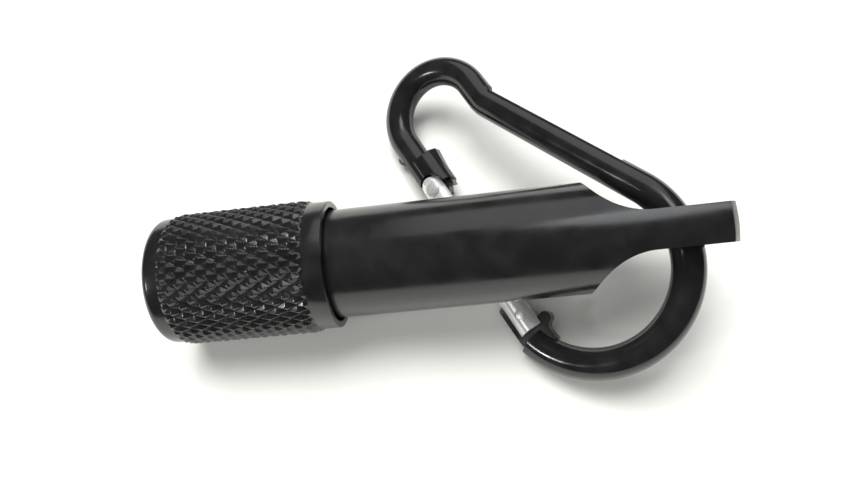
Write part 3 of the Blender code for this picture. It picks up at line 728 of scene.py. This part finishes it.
line, slope = ring_line()
ring_mesh = rod_mesh("snap_ring", [(x, y, 0) for x, y in line], ROD_R, 14)
half_plate = PLATE_T / 2
for outline in (hinge_plate_outline(), nose_plate_outline()):
    ring_mesh = carve(ring_mesh, plate_mesh("plate", outline, -half_plate, half_plate), "UNION")
knuckle = bar_mesh("knuckle", KNUCKLE_R, KNUCKLE_START, PIVOT_X, 96)
knuckle.transform(Matrix.Translation((0, KNUCKLE_Y, 0)) @ Matrix.Rotation(math.pi / 2, 4, "Y"))
ring_mesh = carve(ring_mesh, knuckle, "UNION")
ring_mesh = carve(ring_mesh, ball_mesh("bump", BUMP_R, (BUMP_X, -1.5 * MM, 0)), "UNION")
flat_start = BUMP_X + BUMP_R
outside_room = [(flat_start, -PAST_ROD), (PIVOT_X, -PAST_ROD), (PIVOT_X, OUTER_FLAT_Y),
                (flat_start, OUTER_FLAT_Y)]
ring_mesh = carve(ring_mesh, plate_mesh("outer_mill", outside_room, -PAST_ROD, PAST_ROD))
arch = [*arc((PIVOT_X, 0), ARCH_R, 90, 270, 32), (PIVOT_X, -PAST_ROD), (6 * MM, -PAST_ROD),
        (6 * MM, PAST_ROD), (PIVOT_X, PAST_ROD)]
shoulder = NOSE_X - 0.65 * MM
nose_room = [(14 * MM, -PAST_ROD), (shoulder, -PAST_ROD), (shoulder, PAST_ROD), (14 * MM, PAST_ROD)]
for outline in (arch, nose_room):
    for low, high in ((half_plate, PAST_ROD), (-PAST_ROD, -half_plate)):
        ring_mesh = carve(ring_mesh, plate_mesh("clearance", outline, low, high))
along = Vector((math.cos(slope), math.sin(slope)))
across = Vector((-along.y, along.x))
knee = Vector((KNEE_X, 2 * SMALL_BEND_R))
step_back = (SPINE_STEP_X - knee.x - across.x * SPINE_FLAT) / along.x
near, far = knee + across * SPINE_FLAT + along * step_back, knee + across * SPINE_FLAT + along * 20 * MM
spine_room = [tuple(near), tuple(far), tuple(far + across * PAST_ROD),
              (near.x - 0.4 * MM, near.y + PAST_ROD)]
ring_mesh = carve(ring_mesh, plate_mesh("spine_mill", spine_room, -PAST_ROD, PAST_ROD))
pivot_drill = bar_mesh("pivot_drill", PIVOT_HOLE_R, -PAST_ROD, PAST_ROD, 48)
pivot_drill.transform(Matrix.Translation((PIVOT_X, 0, 0)))
ring_mesh = carve(ring_mesh, pivot_drill)
ring_black = black_anodising("ring_black_anodising", gloss=0.16, marks=0.0015 * MM)
piece("snap_ring", ring_mesh, ring, "ring", "ring_frame", ring_black)


# ---------------------------------------------------------------- Gate rivet
# A turned steel rivet goes through the gate's two cheeks and the ring's plate. Both of its
# ends are set to low round heads.

RIVET_R = 0.6 * MM
RIVET_HEAD_R = 1.05 * MM
RIVET_HEAD_T = 0.3 * MM
RIVET_REACH = 1.75 * MM

rivet_head = [(RIVET_HEAD_R, RIVET_REACH), (RIVET_HEAD_R, RIVET_REACH + 0.05 * MM),
              (RIVET_HEAD_R - 0.12 * MM, RIVET_REACH + 0.17 * MM),
              (RIVET_HEAD_R - 0.45 * MM, RIVET_REACH + RIVET_HEAD_T - 0.03 * MM),
              (0, RIVET_REACH + RIVET_HEAD_T)]
rivet_profile = [(radius, -height) for radius, height in reversed(rivet_head)]
rivet_profile += [(RIVET_R, -RIVET_REACH), (RIVET_R, RIVET_REACH)] + rivet_head
rivet_steel = plated_steel("rivet_steel", 0.3)
rivet_shader = rivet_steel.node_tree.nodes["Principled BSDF"]
rivet_shader.inputs["Base Color"].default_value = (0.8, 0.8, 0.79, 1)
rivet_shader.inputs["Metallic"].default_value = 0.6
piece("hinge_rivet", turned_mesh("hinge_rivet", rivet_profile, 48), gate_place, "ring",
      "gate_rivet", rivet_steel)


# ---------------------------------------------------------------- Gate
# The gate is a short aluminium bar, left bare and polished. It is slotted at the hinge to
# straddle the ring's plate, bored behind it for the spring, and slotted again at the latch.

GATE_R = 1.7 * MM
GATE_TIP = NOSE_X - 1.0 * MM - PIVOT_X
SLOT_T = 1.6 * MM
HINGE_SLOT_END = 3.4 * MM
LATCH_SLOT_START = NOSE_X - 6.0 * MM - PIVOT_X
LATCH_PIN_X = NOSE_X - 3.2 * MM - PIVOT_X
LATCH_PIN_R = 0.5 * MM
SPRING_BORE_R = 1.0 * MM
SPRING_BORE_START = 2.6 * MM
SPRING_BORE_END = 10.4 * MM
GATE_BEVEL = 0.25 * MM
PAST_GATE = 3.0 * MM

gate_mesh = bar_mesh("gate_bar", GATE_R, -GATE_R - 0.5 * MM, GATE_TIP, 96)
gate_mesh.transform(Matrix.Rotation(math.pi / 2, 4, "Y"))
gate_plan = [*arc((0, 0), GATE_R, 90, 270, 32), (GATE_TIP - GATE_BEVEL, -GATE_R),
             (GATE_TIP, -GATE_R + GATE_BEVEL), (GATE_TIP, GATE_R - GATE_BEVEL),
             (GATE_TIP - GATE_BEVEL, GATE_R)]
gate_mesh = carve(gate_mesh, plate_mesh("gate_plan", gate_plan, -PAST_GATE, PAST_GATE), "INTERSECT")
for start, end in ((-PAST_GATE, HINGE_SLOT_END), (LATCH_SLOT_START, GATE_TIP + 1 * MM)):
    slot_plan = [(start, -PAST_GATE), (end, -PAST_GATE), (end, PAST_GATE), (start, PAST_GATE)]
    gate_mesh = carve(gate_mesh, plate_mesh("slot_saw", slot_plan, -SLOT_T / 2, SLOT_T / 2))
for at, radius in ((0.0, PIVOT_HOLE_R), (LATCH_PIN_X, LATCH_PIN_R + 0.02 * MM)):
    drill = bar_mesh("gate_drill", radius, -PAST_GATE, PAST_GATE, 40)
    drill.transform(Matrix.Translation((at, 0, 0)))
    gate_mesh = carve(gate_mesh, drill)
spring_bore = bar_mesh("spring_bore", SPRING_BORE_R, SPRING_BORE_START, SPRING_BORE_END, 40)
spring_bore.transform(Matrix.Rotation(math.pi / 2, 4, "Y"))
gate_mesh = carve(gate_mesh, spring_bore)
polished, polished_shader = new_finish("polished_aluminium", (0.86, 0.86, 0.86, 1), 0.55, 0.25)
polish_lines = grain(polished, 1400, stretch=(0.08, 1, 1), detail=6)
polished.node_tree.links.new(spread(polished, polish_lines, 0.18, 0.34),
                             polished_shader.inputs["Roughness"])
relief(polished, polished_shader, polish_lines, 0.003 * MM)
piece("snap_gate", gate_mesh, gate_place, "gate", "gate", polished)


# ---------------------------------------------------------------- Latch pin, plunger and spring
# A steel pin crosses the gate's latch slot and drops in the nose's notch. At the hinge a steel
# plunger, pushed by a small coil in the gate's bore, rides on the plate's cam and shuts the gate.

LATCH_PIN_REACH = math.sqrt(GATE_R ** 2 - LATCH_PIN_R ** 2) - 0.05 * MM

pin_profile = eased([(0, -LATCH_PIN_REACH), (LATCH_PIN_R, -LATCH_PIN_REACH),
                     (LATCH_PIN_R, LATCH_PIN_REACH), (0, LATCH_PIN_REACH)], 0.08 * MM, closed=False)
piece("gate_latch_pin", turned_mesh("gate_latch_pin", pin_profile, 48),
      gate_place @ Matrix.Translation((LATCH_PIN_X, 0, 0)), "gate", "latch_pin", rivet_steel)
repaint(nickel_plate, "gate_spring", "gate_plunger")


# ---------------------------------------------------------------- Floor
# A sheet of matt white card, wide enough to have no edge in any view.

FLOOR_HALF = 3.0
FLOOR_DROP = 0.02 * MM
CARD_WHITE = (0.86, 0.865, 0.83, 1)

card, card_shader = new_finish("white_card", CARD_WHITE, 0.0, 0.9)
card.node_tree.links.new(tint(card, grain(card, 60), CARD_WHITE, (0.85, 0.856, 0.82, 1)),
                         card_shader.inputs["Base Color"])
card_mesh = bpy.data.meshes.new("floor")
sheet = bmesh.new()
bmesh.ops.create_grid(sheet, x_segments=1, y_segments=1, size=FLOOR_HALF)
sheet.to_mesh(card_mesh)
sheet.free()
card_mesh.materials.append(card)
floor = bpy.data.objects.new("floor", card_mesh)
bpy.context.scene.collection.objects.link(floor)
floor.location.z = -FLOOR_DROP


# ---------------------------------------------------------------- Light
# A broad soft light over the card and a fill from the front light the scene without a mirror
# image of themselves on the dark metal. A panel behind, a small window over the tail and a
# lamp far to the left are mirrored, and give the long highlights and the glints.

ROOM_LIGHT = 0.05
LIGHTS = (
    ("card_light", (-0.15, 0.25, 0.7), 0.5, 7.0, (1.0, 0.99, 0.97), False),
    ("back_panel", (0.05, 0.32, 0.38), 0.45, 0.6, (0.97, 0.98, 1.0), True),
    ("tail_window", (0.1, 0.09, 0.46), 0.18, 0.3, (0.96, 0.99, 1.0), True),
    ("front_fill", (-0.1, -0.5, 0.55), 0.8, 2.6, (1.0, 1.0, 0.98), False),
    ("glint_lamp", (-0.38, -0.175, 0.275), 0.04, 0.3, (1.0, 1.0, 1.0), True),
)
aim = Vector((0, 0, 0.005))
for name, place, size, power, colour, mirrored in LIGHTS:
    data = bpy.data.lights.new(name, "AREA")
    data.shape = "SQUARE"
    data.size = size
    data.energy = power
    data.color = colour
    lamp = bpy.data.objects.new(name, data)
    bpy.context.scene.collection.objects.link(lamp)
    lamp.location = place
    lamp.rotation_euler = (aim - Vector(place)).to_track_quat("-Z", "Y").to_euler()
    lamp.visible_glossy = mirrored

world = bpy.data.worlds.new("room")
world.use_nodes = True
world.node_tree.nodes["Background"].inputs["Color"].default_value = (1.0, 1.0, 1.0, 1)
world.node_tree.nodes["Background"].inputs["Strength"].default_value = ROOM_LIGHT
bpy.context.scene.world = world
bpy.context.scene.view_settings.view_transform = "Standard"


# ---------------------------------------------------------------- Camera
# A short lens close over the torch, looking down at it from the side of the gate.

LENS_LENGTH = 29.22
SENSOR_WIDTH = 36
CAMERA_PLACE = (0.66 * MM, -38.29 * MM, 83.18 * MM)
CAMERA_TURN = (24.0, 2.71, -3.16)

view = bpy.data.cameras.new("camera")
view.sensor_width = SENSOR_WIDTH
view.lens = LENS_LENGTH
view.clip_start = 1 * MM
camera = bpy.data.objects.new("camera", view)
bpy.context.scene.collection.objects.link(camera)
camera.location = CAMERA_PLACE
camera.rotation_euler = [math.radians(angle) for angle in CAMERA_TURN]
bpy.context.scene.camera = camera
